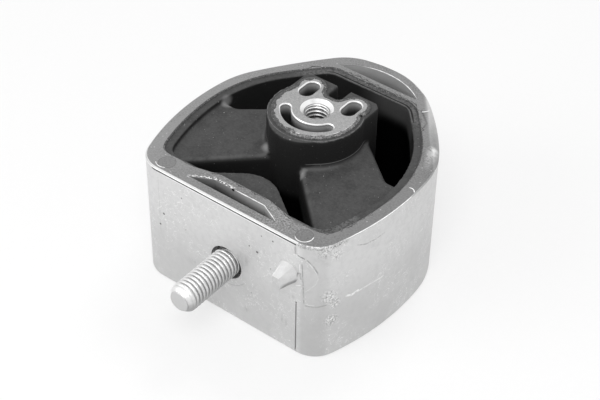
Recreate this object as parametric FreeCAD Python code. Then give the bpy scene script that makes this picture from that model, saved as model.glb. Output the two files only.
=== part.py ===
import FreeCAD, Part
import math
import os

# Transmission mount: a cast aluminium housing, one moulded rubber spring bonded inside it,
# a cast aluminium core held by the rubber, and a steel stud set in the front of the housing.
# The origin is on the core's thread axis, level with the housing's upper face.
# X runs across the mount, the stud points to -Y and the core rises to +Z. Millimetres.

Vector = FreeCAD.Vector
ORIGIN = Vector(0, 0, 0)
ACROSS = Vector(1, 0, 0)

# Housing, seen from above
bore_to_front = 46.0
bore_to_back = 43.3
housing_half_width = 42.4
housing_height = 46.8
front_end_inset = 14.4
front_corner_run = 9.2
front_corner_rise = 6.5
side_end_y = 1.1
crown_inset = 31.9
left_side_end_inset = 1.3
left_shoulder_inset = 5.7
left_shoulder_y = 13.2
left_cheek_inset = 22.4
left_cheek_drop = 6.9
left_crown_drop = 1.1
right_side_end_inset = 0.2
right_shoulder_inset = 4.1
right_shoulder_y = 13.6
right_cheek_inset = 20.1
right_cheek_drop = 9.7
right_crown_drop = 2.1
upper_edge_radius = 0.7
lower_edge_radius = 0.8

# Soft round along the rim's right rear shoulder
shoulder_round_radius = 6.0
shoulder_round_inset = 2.9
shoulder_round_lead = 1.0

# Opening through the housing
rim_width = 4.3
front_bar_depth = 7.7
front_bar_bulge = 2.3
front_bar_middle_half = 9.5
front_bar_shoulder_half = 19.0
back_bar_depth = 11.3
opening_corner_inset = 3.9
opening_corner_rise = 3.8
opening_widest_y = -9.5
opening_shoulder_inset = 2.9
opening_shoulder_y = 6.8
opening_cheek_inset = 9.7
opening_cheek_y = 18.9
opening_back_inset = 18.6
opening_back_drop = 2.7
opening_flat_inset = 24.1

# Cored pockets in the front and back bars
pocket_depth = 14.0
front_pocket_wall = 3.3
front_pocket_width = 3.7
front_pocket_outer_half = 17.3
front_pocket_inner_half = 9.8
back_pocket_wall = 3.5
back_pocket_width = 5.8
back_pocket_half = 16.0

# Stud and its seat in the front bar
stud_radius = 5.0
stud_reach = 22.5
stud_drop = 24.2
stud_tip_chamfer = 1.6
stud_neck_radius = 4.2
stud_shank_radius = 5.3
stud_shank_length = 5.5
seat_radius = 6.1
seat_depth = 3.0

# Cast lug on the front face
lug_x = 24.6
lug_drop = 13.6
lug_base_radius = 4.3
lug_reach = 6.2
lug_tip_width = 2.6
lug_tip_height = 4.6
lug_root = 1.0

# Slit and groove that the edge of a die insert leaves beside the front corner
slit_x = 27.8
slit_width = 0.5
slit_depth = 0.6
slit_top_drop = 24.4
slit_end_rise = 1.2
groove_x = 27.4
groove_width = 0.9
groove_depth = 0.35
groove_top_drop = 1.9
groove_length = 3.0

# Core
core_rise = 9.0
core_end_inset = 2.5
core_radius = 13.8
core_shift = 0.5
ear_radius = 4.3
ear_inset = 1.14
ear_angle = 46.6
notch_bottom_y = 7.0
notch_floor_half = 2.0
outline_blend = 1.5
thread_radius = 4.25
thread_depth = 30.0
thread_chamfer = 1.15
drill_point_half_angle = 60.0
slot_wall = 2.0
slot_width = 3.5
slot_half_angle = 57.0
slot_depth = 8.0
ear_hole_shift_in = 0.3
ear_hole_shift_forward = 1.7
ear_hole_width = 5.0
ear_hole_length = 8.2
ear_hole_depth = 8.0
mouth_chamfer = 0.35

# Rubber round the core
skirt_thickness = 2.05
skirt_chin_radius = 12.0
skirt_chin_thickness = 3.5
skirt_ear_side = 1.8
skirt_ear_back = 2.0
skirt_ear_corner = 3.2
skirt_notch_half = 2.3
skirt_notch_cover = 1.7
skirt_top_drop = 0.6
skirt_end_drop = 0.8

# Rubber on the housing
liner_thickness = 3.0
liner_front_thickness = 1.3
liner_top_drop = 0.5
liner_end_rise = 1.0
bump_reach = 11.0
bump_top_drop = 2.7
bump_end_rise = 3.5
bump_foot_half = 21.5
bump_heel_half = 16.5
bump_heel_rise = 1.7
bump_crown_half = 7.0
bump_crown_fall = 2.3

# Rubber legs from the core to the housing's sides
leg_angle = 41.2
leg_start_y = 5.4
leg_length = 62.0
leg_width_at_core = 24.0
leg_width_at_wall = 29.5
leg_top_drop = 2.3
leg_end_rise = 4.0
leg_edge_radius = 2.6
leg_wall_blend = 3.5
leg_wall_blend_steps = 3
leg_root_radius = 1.8

# Smallest length that counts when edges are picked by their place
tiny = 1e-6


def line(start, stop, z):
    return Part.LineSegment(Vector(start[0], start[1], z), Vector(stop[0], stop[1], z)).toShape()


def tangent_arcs(start, heading, stops, z):
    """Arcs through the stops: each leaves in the direction in which the last one ended."""
    edges = []
    here = start
    for stop in stops:
        run = stop[0] - here[0]
        rise = stop[1] - here[1]
        half_turn = math.degrees(math.atan2(rise, run)) - heading
        bulge = math.tan(math.radians(half_turn) / 2.0) / 2.0
        first = Vector(here[0], here[1], z)
        middle = Vector(here[0] + run / 2.0 + rise * bulge, here[1] + rise / 2.0 - run * bulge, z)
        last = Vector(stop[0], stop[1], z)
        edges.append(Part.Arc(first, middle, last).toShape())
        heading = heading + 2.0 * half_turn
        here = stop
    return edges


def inset_stops(start, heading, stops, distance):
    """The stops of the parallel path that lies this distance inside."""
    moved = []
    here = start
    for stop in stops:
        chord = math.degrees(math.atan2(stop[1] - here[1], stop[0] - here[0]))
        heading = 2.0 * chord - heading
        turn = math.radians(heading)
        moved.append((stop[0] - distance * math.sin(turn), stop[1] + distance * math.cos(turn)))
        here = stop
    moved[-1] = (stops[-1][0], moved[-1][1])
    return moved


def symmetric_wire(half_edges):
    """A closed wire from edges on the +X side and their mirror images."""
    mirrored = [edge.mirror(ORIGIN, ACROSS) for edge in half_edges]
    return Part.Wire(Part.__sortEdges__(half_edges + mirrored))


def closed_wire(points, z):
    corners = points + points[:1]
    return Part.Wire([line(a, b, z) for a, b in zip(corners, corners[1:])])


def prism(wire, top):
    """The solid between a flat wire and the height top."""
    return Part.Face(wire).extrude(Vector(0, 0, top - wire.BoundBox.ZMin))


def disc(radius, x, y, bottom, top):
    return Part.makeCylinder(radius, top - bottom, Vector(x, y, bottom))


def both_sides(shape):
    return [shape, shape.mirror(ORIGIN, ACROSS)]


def upright_edges(shape):
    """The edges along the full height of a prism, where two of its sides meet."""
    height = shape.BoundBox.ZLength
    full = [edge for edge in shape.Edges if abs(edge.BoundBox.ZLength - height) < tiny]
    return [edge for edge in full if len(shape.ancestorsOfType(edge, Part.Face)) == 2]


def edges_at(shape, z):
    """The edges that lie wholly at one height."""
    flat = [edge for edge in shape.Edges if edge.BoundBox.ZLength < tiny]
    return [edge for edge in flat if abs(edge.BoundBox.ZMin - z) < tiny]


def housing_half(side_end_inset, shoulder, cheek, crown_drop, z):
    """Half of the housing's outline at +X: flat front, then tangent arcs round the side to the back."""
    front_end = housing_half_width - front_end_inset
    start = (front_end, -bore_to_front)
    stops = [
        (front_end + front_corner_run, -bore_to_front + front_corner_rise),
        (housing_half_width - side_end_inset, side_end_y),
        shoulder,
        cheek,
        (housing_half_width - crown_inset, bore_to_back - crown_drop),
        (0.0, bore_to_back),
    ]
    return [line((0.0, -bore_to_front), start, z)] + tangent_arcs(start, 0.0, stops, z)


def right_shoulder():
    return (housing_half_width - right_shoulder_inset, right_shoulder_y)


def right_cheek():
    return (housing_half_width - right_cheek_inset, bore_to_back - right_cheek_drop)


def housing_outline(z):
    """The whole outline, which is a little fuller at the right rear than at the left."""
    left_shoulder = (housing_half_width - left_shoulder_inset, left_shoulder_y)
    left_cheek = (housing_half_width - left_cheek_inset, bore_to_back - left_cheek_drop)
    left = housing_half(left_side_end_inset, left_shoulder, left_cheek, left_crown_drop, z)
    right = housing_half(right_side_end_inset, right_shoulder(), right_cheek(), right_crown_drop, z)
    mirrored = [edge.mirror(ORIGIN, ACROSS) for edge in left]
    return Part.Wire(Part.__sortEdges__(right + mirrored))


def shoulder_round():
    """The sliver that a soft round takes off the rim between the right shoulder and cheek."""
    start = Vector(right_shoulder()[0], right_shoulder()[1], 0)
    chord = Vector(right_cheek()[0], right_cheek()[1], 0) - start
    overrun = chord.Length
    reach = chord.Length + 2.0 * overrun
    radius = shoulder_round_radius
    drop = math.sqrt(radius**2 - shoulder_round_lead**2)
    axis_end = Vector(-overrun, shoulder_round_lead, -drop)
    block = Part.makeBox(reach, radius, 2.0 * radius, Vector(-overrun, -radius, -radius))
    sliver = block.cut(Part.makeCylinder(radius, reach, axis_end, ACROSS))
    sliver.translate(Vector(0, shoulder_round_inset, 0))
    sliver.rotate(ORIGIN, Vector(0, 0, 1), math.degrees(math.atan2(chord.y, chord.x)))
    sliver.translate(start)
    return sliver


def opening_outline(z, side_inset, front_inset):
    """The opening's sides and back, or a parallel outline inside it, closed by a straight front."""
    side = housing_half_width - rim_width
    front = -bore_to_front + front_bar_depth
    back = bore_to_back - back_bar_depth
    corner = (side - opening_corner_inset, front + opening_corner_rise)
    stops = [
        (side, opening_widest_y),
        (side - opening_shoulder_inset, opening_shoulder_y),
        (side - opening_cheek_inset, opening_cheek_y),
        (side - opening_back_inset, back - opening_back_drop),
        (side - opening_flat_inset, back),
    ]
    chord = math.degrees(math.atan2(opening_widest_y - corner[1], side - corner[0]))
    corner_heading = 2.0 * chord - 90.0
    turn = math.radians(corner_heading)
    corner_moved = (corner[0] - side_inset * math.sin(turn), corner[1] + side_inset * math.cos(turn))
    moved = inset_stops(corner, corner_heading, stops, side_inset)
    rise = corner_moved[1] - front - front_inset
    start = (corner_moved[0] - rise / math.tan(turn / 2.0), front + front_inset)
    arcs = tangent_arcs(start, 0.0, [corner_moved] + moved, z)
    flat = line((0.0, start[1]), start, z)
    chord_edge = line(moved[-1], (0.0, moved[-1][1]), z)
    return symmetric_wire([flat] + arcs + [chord_edge])


def front_bar_middle(bottom, top):
    """The front bar's thicker middle, which reaches back into the opening."""
    foot = -bore_to_front + front_bar_depth
    points = [
        (-front_bar_shoulder_half, foot),
        (front_bar_shoulder_half, foot),
        (front_bar_middle_half, foot + front_bar_bulge),
        (-front_bar_middle_half, foot + front_bar_bulge),
    ]
    return prism(closed_wire(points, bottom), top)


def opening_solid(bottom, top):
    """All the space inside the housing, which the rubber's bonded faces fill out to."""
    return prism(opening_outline(bottom, 0.0, 0.0), top).cut(front_bar_middle(bottom, top))


def front_pocket():
    outer = -bore_to_front + front_pocket_wall
    inner = outer + front_pocket_width
    points = [
        (-front_pocket_outer_half, outer),
        (front_pocket_outer_half, outer),
        (front_pocket_inner_half, inner),
        (-front_pocket_inner_half, inner),
    ]
    return prism(closed_wire(points, -pocket_depth), 0.0)


def back_pocket():
    """A pocket between a straight inner wall and an arc that follows the housing's back."""
    outer = bore_to_back - back_pocket_wall
    inner = outer - back_pocket_width
    left = Vector(-back_pocket_half, inner, -pocket_depth)
    middle = Vector(0, outer, -pocket_depth)
    right = Vector(back_pocket_half, inner, -pocket_depth)
    edges = [Part.Arc(left, middle, right).toShape(), Part.LineSegment(right, left).toShape()]
    return prism(Part.Wire(edges), 0.0)


def stud_profile(points):
    """A turned solid about the stud's axis from (radius, distance behind the front face) points."""
    corners = [Vector(r, -bore_to_front + y, -stud_drop) for r, y in points]
    face = Part.Face(Part.makePolygon(corners + corners[:1]))
    return face.revolve(Vector(0, 0, -stud_drop), Vector(0, 1, 0), 360)


def stud_seat():
    """A counterbore in the front face, then the blind bore that grips the stud."""
    end = seat_depth + stud_shank_length
    points = [
        (0.0, -stud_reach),
        (seat_radius, -stud_reach),
        (seat_radius, seat_depth),
        (stud_shank_radius, seat_depth),
        (stud_shank_radius, end),
        (0.0, end),
    ]
    return stud_profile(points)


def lug():
    """A cast lug that narrows from a round root to a small upright end face."""
    face = -bore_to_front
    root = Vector(lug_x, face + lug_root, -lug_drop)
    base = Part.Wire(Part.makeCircle(lug_base_radius, root, Vector(0, 1, 0)))
    x0 = lug_x - lug_tip_width / 2.0
    z0 = -lug_drop - lug_tip_height / 2.0
    tip = face - lug_reach
    corners = [
        Vector(x0, tip, z0),
        Vector(x0 + lug_tip_width, tip, z0),
        Vector(x0 + lug_tip_width, tip, z0 + lug_tip_height),
        Vector(x0, tip, z0 + lug_tip_height),
    ]
    end = Part.makePolygon(corners + corners[:1])
    return Part.makeLoft([base, end], True, True)


def front_cut(x, width, depth, bottom, top):
    """An upright cut in the front face, with as much of it outside the face as inside."""
    corner = Vector(x - width / 2.0, -bore_to_front - depth, bottom)
    return Part.makeBox(width, 2.0 * depth, top - bottom, corner)


def insert_marks():
    slit = front_cut(slit_x, slit_width, slit_depth, slit_end_rise - housing_height, -slit_top_drop)
    end = -groove_top_drop - groove_length
    return [slit, front_cut(groove_x, groove_width, groove_depth, end, -groove_top_drop)]


def make_housing():
    outer = prism(housing_outline(-housing_height), 0.0)
    outer = outer.makeFillet(lower_edge_radius, edges_at(outer, -housing_height))
    outer = outer.makeFillet(upper_edge_radius, edges_at(outer, 0.0))
    body = outer.cut(opening_solid(-housing_height, 0.0))
    body = body.fuse(lug())
    return body.cut([front_pocket(), back_pocket(), stud_seat(), shoulder_round()] + insert_marks())


def ear_centre():
    """The middle of the right ear, which lies a little inside the core's edge."""
    away = core_radius - ear_inset
    turn = math.radians(ear_angle)
    return away * math.cos(turn), away * math.sin(turn) - core_shift


def core_body(bottom, top):
    """The core's outline as a solid: a disc, notched at the back, with an ear at each side."""
    ear_x, ear_y = ear_centre()
    reach = ear_y + ear_radius + core_radius
    mouth = notch_bottom_y + ear_x - notch_floor_half
    points = [
        (-notch_floor_half, notch_bottom_y),
        (notch_floor_half, notch_bottom_y),
        (ear_x, mouth),
        (ear_x, reach),
        (-ear_x, reach),
        (-ear_x, mouth),
    ]
    body = disc(core_radius, 0.0, -core_shift, bottom, top)
    body = body.cut(prism(closed_wire(points, bottom), top))
    body = body.fuse(both_sides(disc(ear_radius, ear_x, ear_y, bottom, top))).removeSplitter()
    return body.makeFillet(outline_blend, upright_edges(body))


def curved_slot():
    """A blind slot with round ends that follows the front of the bore."""
    bottom = core_rise - slot_depth
    outer = core_radius - slot_wall
    inner = outer - slot_width
    along = (outer + inner) / 2.0
    start = -math.pi / 2.0
    end = start + math.radians(slot_half_angle)
    middle = (start + end) / 2.0
    cap = end + slot_width / 2.0 / along

    def at(radius, angle):
        return Vector(radius * math.cos(angle), radius * math.sin(angle), bottom)

    half = [
        Part.Arc(at(outer, start), at(outer, middle), at(outer, end)).toShape(),
        Part.Arc(at(outer, end), at(along, cap), at(inner, end)).toShape(),
        Part.Arc(at(inner, end), at(inner, middle), at(inner, start)).toShape(),
    ]
    return prism(symmetric_wire(half), core_rise)


def ear_hole():
    """A blind oval pocket in an ear."""
    bottom = core_rise - ear_hole_depth
    radius = ear_hole_width / 2.0
    half_run = ear_hole_length / 2.0 - radius
    x = ear_centre()[0] - ear_hole_shift_in
    y = ear_centre()[1] - ear_hole_shift_forward
    near = disc(radius, x, y - half_run, bottom, core_rise)
    far = disc(radius, x, y + half_run, bottom, core_rise)
    corner = Vector(x - radius, y - half_run, bottom)
    middle = Part.makeBox(ear_hole_width, 2.0 * half_run, ear_hole_depth, corner)
    return near.fuse([far, middle]).removeSplitter()


def thread_bore():
    """The blind bore for the thread, with a countersunk mouth and a drilled point."""
    mouth = thread_radius + thread_chamfer
    end = core_rise - thread_depth
    point = thread_radius / math.tan(math.radians(drill_point_half_angle))
    corners = [
        Vector(0, 0, core_rise),
        Vector(mouth, 0, core_rise),
        Vector(thread_radius, 0, core_rise - thread_chamfer),
        Vector(thread_radius, 0, end),
        Vector(0, 0, end - point),
    ]
    face = Part.Face(Part.makePolygon(corners + corners[:1]))
    return face.revolve(ORIGIN, Vector(0, 0, 1), 360)


def make_core():
    body = core_body(core_end_inset - housing_height, core_rise)
    body = body.cut([curved_slot()] + both_sides(ear_hole()))
    body = body.makeChamfer(mouth_chamfer, edges_at(body, core_rise))
    return body.cut(thread_bore())


def skirt():
    """The rubber that wraps the core, with a thick chin, square ears and its own narrower notch."""
    bottom = core_end_inset - housing_height + skirt_end_drop
    top = core_rise - skirt_top_drop
    chin_y = -core_shift - core_radius - skirt_chin_thickness + skirt_chin_radius
    half = ear_centre()[0] + ear_radius + skirt_ear_side
    back = ear_centre()[1] + ear_radius + skirt_ear_back
    body = disc(core_radius + skirt_thickness, 0.0, -core_shift, bottom, top)
    ears = Part.makeBox(2.0 * half, back, top - bottom, Vector(-half, 0.0, bottom))
    back_corners = [edge for edge in upright_edges(ears) if edge.BoundBox.YMin > 0.0]
    ears = ears.makeFillet(skirt_ear_corner, back_corners)
    body = body.fuse([ears, disc(skirt_chin_radius, 0.0, chin_y, bottom, top)])
    floor = notch_bottom_y + skirt_notch_cover
    corner = Vector(-skirt_notch_half, floor, bottom)
    notch = Part.makeBox(2.0 * skirt_notch_half, back, top - bottom, corner)
    return body.cut(notch).removeSplitter()


def liner():
    """The rubber layer on the housing's wall, thin at the front and thick round the sides and back."""
    bottom = liner_end_rise - housing_height
    hollow = prism(opening_outline(bottom, liner_thickness, liner_front_thickness), -liner_top_drop)
    return opening_solid(bottom, -liner_top_drop).cut(hollow)


def front_bump():
    """The bell-shaped stop on the front bar, which faces the core's chin."""
    bottom = bump_end_rise - housing_height
    bar = -bore_to_front + front_bar_depth
    foot = bar + liner_front_thickness
    peak = foot + bump_reach
    heel = (bump_heel_half, foot + bump_heel_rise)
    crown = (bump_crown_half, peak - bump_crown_fall)
    half = tangent_arcs((0.0, peak), 0.0, [crown], bottom)
    half.append(line(crown, heel, bottom))
    half.extend(tangent_arcs((bump_foot_half, foot), 180.0, [heel], bottom))
    half.append(line((bump_foot_half, foot), (bump_foot_half, bar), bottom))
    half.append(line((bump_foot_half, bar), (0.0, bar), bottom))
    body = prism(symmetric_wire(half), -bump_top_drop)
    return body.cut(front_bar_middle(bottom, -bump_top_drop))


def leg_outline(z):
    """A leg seen from above, laid along +X. Its rear side turns into the liner's widest line."""
    turn = math.radians(leg_angle)
    side = leg_width_at_core / 2.0
    lean = math.atan((leg_width_at_wall - leg_width_at_core) / 2.0 / leg_length)
    wall = housing_half_width - rim_width - liner_thickness
    along = (wall - side * math.sin(turn)) / (math.cos(turn) + math.tan(lean) * math.sin(turn))
    swing = math.pi / 2.0 - turn + lean
    start_along = along - leg_wall_blend / math.tan(swing / 2.0) * math.cos(lean)
    start_side = side + math.tan(lean) * start_along
    centre = (start_along - leg_wall_blend * math.sin(lean), start_side + leg_wall_blend * math.cos(lean))
    points = [(0.0, side)]
    for step in range(leg_wall_blend_steps + 1):
        heading = lean + swing * step / leg_wall_blend_steps
        x = centre[0] + leg_wall_blend * math.sin(heading)
        points.append((x, centre[1] - leg_wall_blend * math.cos(heading)))
    last = points[-1]
    points.append((last[0] + rim_width * math.cos(turn), last[1] + rim_width * math.sin(turn)))
    far = leg_width_at_wall / 2.0
    points.extend([(leg_length, far), (leg_length, -far), (0.0, -side)])
    return closed_wire(points, z), last[0]


def leg_root():
    """A ring round the skirt whose hollow section leads from the legs' tops up to its side."""
    side = core_radius + skirt_thickness
    bend = leg_root_radius * (1.0 - math.sqrt(0.5))
    section = [
        (side + leg_root_radius, -leg_top_drop),
        (side + bend, bend - leg_top_drop),
        (side, leg_root_radius - leg_top_drop),
        (core_radius, leg_root_radius - leg_top_drop),
        (core_radius, -leg_top_drop),
    ]
    corners = [Vector(r, -core_shift, z) for r, z in section]
    face = Part.Face(Part.makePolygon(corners + corners[:1]))
    return face.revolve(Vector(0, -core_shift, 0), Vector(0, 0, 1), 360)


def leg():
    """A slab with rounded edges that widens on its way from the core to the housing's side."""
    bottom = leg_end_rise - housing_height
    outline, blend_end_x = leg_outline(bottom)
    slab = prism(outline, -leg_top_drop)
    rims = edges_at(slab, bottom) + edges_at(slab, -leg_top_drop)
    lengthwise = [edge for edge in rims if edge.BoundBox.XLength > tiny]
    sides = [edge for edge in lengthwise if edge.BoundBox.XMin < blend_end_x - tiny]
    slab = slab.makeFillet(leg_edge_radius, sides)
    slab.rotate(ORIGIN, Vector(0, 0, 1), -leg_angle)
    slab.translate(Vector(0, leg_start_y, 0))
    raised = slab.translated(Vector(0, 0, leg_root_radius))
    return slab.common(opening_solid(-housing_height, 0.0)).fuse(raised.common(leg_root()))


def make_rubber_spring():
    body = liner().fuse([front_bump(), skirt()] + both_sides(leg()))
    return body.cut(core_body(core_end_inset - housing_height, core_rise)).removeSplitter()


def make_stud():
    """The stud: pointed free end, plain cylinder for the thread, relief neck and gripped shank."""
    end = seat_depth + stud_shank_length
    points = [
        (0.0, -stud_reach),
        (stud_radius - stud_tip_chamfer, -stud_reach),
        (stud_radius, -stud_reach + stud_tip_chamfer),
        (stud_radius, 0.0),
        (stud_neck_radius, stud_radius - stud_neck_radius),
        (stud_neck_radius, seat_depth),
        (stud_shank_radius, seat_depth),
        (stud_shank_radius, end),
        (0.0, end),
    ]
    return stud_profile(points)


def main():
    os.makedirs("parts", exist_ok=True)
    solids = {
        "housing": make_housing(),
        "rubber_spring": make_rubber_spring(),
        "core": make_core(),
        "stud": make_stud(),
    }
    for name, solid in solids.items():
        solid.exportStep(os.path.join("parts", name + ".step"))
        box = solid.BoundBox
        reach = (box.XMin, box.YMin, box.ZMin, box.XMax, box.YMax, box.ZMax)
        print(name, len(solid.Solids), solid.isValid(), round(solid.Volume), [round(v, 2) for v in reach])


main()
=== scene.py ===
# %% [markdown]
# A transmission mount, dressed for a photograph.
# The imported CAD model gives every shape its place. This file adds what a solid can't hold:
# the threads, the film that moulding leaves on the rubber, the marks of casting, and the finishes.
# All lengths are in metres, in the CAD frame: the core's thread axis is the Z axis, the rim lies at
# height zero, and the stud points to -Y.

import math

import bmesh
import bpy
from mathutils import Matrix, Vector, noise


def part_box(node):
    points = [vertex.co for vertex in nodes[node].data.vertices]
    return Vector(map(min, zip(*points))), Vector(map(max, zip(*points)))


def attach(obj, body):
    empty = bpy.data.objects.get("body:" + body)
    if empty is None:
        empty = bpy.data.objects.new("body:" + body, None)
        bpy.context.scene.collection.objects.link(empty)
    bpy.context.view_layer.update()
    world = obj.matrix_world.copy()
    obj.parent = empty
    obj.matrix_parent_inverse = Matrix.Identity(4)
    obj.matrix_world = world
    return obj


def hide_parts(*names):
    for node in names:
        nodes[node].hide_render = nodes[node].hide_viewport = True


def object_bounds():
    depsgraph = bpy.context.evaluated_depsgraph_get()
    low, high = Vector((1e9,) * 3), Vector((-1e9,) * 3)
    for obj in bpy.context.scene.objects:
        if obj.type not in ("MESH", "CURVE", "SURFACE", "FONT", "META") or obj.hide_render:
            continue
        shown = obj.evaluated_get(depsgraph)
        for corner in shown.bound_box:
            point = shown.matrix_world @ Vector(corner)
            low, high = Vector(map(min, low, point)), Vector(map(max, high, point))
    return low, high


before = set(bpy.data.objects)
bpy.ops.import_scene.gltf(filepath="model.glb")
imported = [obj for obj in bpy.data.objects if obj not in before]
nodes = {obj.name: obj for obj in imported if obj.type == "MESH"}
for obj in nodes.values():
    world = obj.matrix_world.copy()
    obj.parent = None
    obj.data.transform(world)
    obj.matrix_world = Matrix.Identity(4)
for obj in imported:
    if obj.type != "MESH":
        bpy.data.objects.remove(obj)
cad_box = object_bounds()
mm = 0.001
turn = 2.0 * math.pi


def add_object(name, data):
    """Puts a mesh, a lamp or a camera into the scene."""
    made = bpy.data.objects.new(name, data)
    bpy.context.scene.collection.objects.link(made)
    return made


print("CAD nodes:", sorted(nodes))

# %% [markdown]
# The camera is found by matching corners of the housing, the stud and the core with the photograph.
# It looks down from the front right. The azimuth turns it round the part, the elevation lifts it, and
# the small roll tilts the picture. The aim is the point that it looks at, given across and up in the
# camera's own directions from the foot of the thread axis.

# %% Camera
azimuth = math.radians(37.12)
elevation = math.radians(40.84)
roll = math.radians(0.98)
distance = 507.7 * mm
aim_right = -4.7 * mm
aim_up = 13.0 * mm
foot_height = -46.6 * mm
focal_pixels = 1482.0
picture_width = 600.0
sensor_width = 36.0


def camera_axes():
    backward = Vector((
        math.sin(azimuth) * math.cos(elevation),
        -math.cos(azimuth) * math.cos(elevation),
        math.sin(elevation),
    ))
    level = Vector((math.cos(azimuth), math.sin(azimuth), 0.0))
    upright = backward.cross(level)
    right = level * math.cos(roll) + upright * math.sin(roll)
    up = upright * math.cos(roll) - level * math.sin(roll)
    return right, up, backward


def place_camera():
    right, up, backward = camera_axes()
    data = bpy.data.cameras.new("camera")
    data.sensor_width = sensor_width
    data.lens = focal_pixels / picture_width * sensor_width
    data.clip_start = 0.01
    camera = add_object("camera", data)
    place = right * aim_right + up * aim_up + backward * distance + Vector((0.0, 0.0, foot_height))
    turned = Matrix((right, up, backward)).transposed()
    camera.matrix_world = Matrix.Translation(place) @ turned.to_4x4()
    bpy.context.scene.camera = camera
    return camera


camera = place_camera()
print("lens", round(camera.data.lens, 1), "mm at", [round(v, 3) for v in camera.location])

# %% [markdown]
# Shader arithmetic could be wired by hand, node by node, but it reads best as arithmetic. An Amount
# wraps one socket, and an expression on Amounts adds the Math nodes that work it out. The methods step
# and band turn an Amount into a mask.

# %% Amounts
class Amount:
    """A number that varies over a surface, written in ordinary expressions."""

    def __init__(self, sheet, socket):
        self.sheet = sheet
        self.socket = socket

    def maths(self, operation, first, second):
        return self.sheet.node("ShaderNodeMath", {"operation": operation}, {0: first, 1: second})

    def __add__(self, other):
        return self.maths("ADD", self, other)

    def __radd__(self, other):
        return self.maths("ADD", other, self)

    def __sub__(self, other):
        return self.maths("SUBTRACT", self, other)

    def __rsub__(self, other):
        return self.maths("SUBTRACT", other, self)

    def __mul__(self, other):
        return self.maths("MULTIPLY", self, other)

    def __rmul__(self, other):
        return self.maths("MULTIPLY", other, self)

    def __abs__(self):
        return self.maths("ABSOLUTE", self, 0.0)

    def step(self, low, high):
        """0 below low, 1 above high, smooth between. low may be the larger one."""
        settings = {"interpolation_type": "SMOOTHSTEP"}
        return self.sheet.node("ShaderNodeMapRange", settings, {0: self, 1: low, 2: high, 3: 0.0, 4: 1.0})

    def band(self, centre, half, soft):
        """1 within half of the centre, fading to 0 over soft."""
        return abs(self - centre).step(half + soft, half)


print("amounts ready")

# %% [markdown]
# A Sheet is one tree of nodes, of a material or of the sky. Its node method makes any node from its
# type, its settings and the values or links of its sockets, so no other code wires nodes by hand.

# %% Sheets of nodes
class Sheet:
    """A tree of nodes, and the calls that build them."""

    def __init__(self, tree):
        self.tree = tree

    def node(self, kind, settings, values, output=0):
        made = self.tree.nodes.new(kind)
        for name, setting in settings.items():
            setattr(made, name, setting)
        for name, value in values.items():
            self.feed(made.inputs[name], value)
        return Amount(self, made.outputs[output])

    def feed(self, socket, value):
        if isinstance(value, Amount):
            self.tree.links.new(value.socket, socket)
        else:
            socket.default_value = value

    def vector(self, operation, first, second, output=0):
        values = {0: first, "Scale" if operation == "SCALE" else 1: second}
        return self.node("ShaderNodeVectorMath", {"operation": operation}, values, output)

    def most(self, first, second):
        return self.node("ShaderNodeMath", {"operation": "MAXIMUM"}, {0: first, 1: second})

    def seen_directly(self):
        """1 for rays from the camera and for reflections, 0 for light that bounces."""
        seen = 0.0
        for kind in ("Is Camera Ray", "Is Glossy Ray", "Is Transmission Ray"):
            seen = self.most(seen, self.node("ShaderNodeLightPath", {}, {}, kind))
        return seen

    def show_mix(self, share, first, second, end):
        """Sends two shaders, mixed by a share, to the tree's end."""
        mix = self.node("ShaderNodeMixShader", {}, {0: share, 1: first, 2: second})
        self.feed(self.tree.nodes[end].inputs["Surface"], mix)


print("sheets of nodes ready")

# %% [markdown]
# A Finish is a material on such a sheet, with the masks and patterns that this part needs. Painted
# pictures would tie the finish to one set of sizes, so every mark is worked out from its place on the
# part instead, in millimetres, or from the way that the surface faces.

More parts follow.
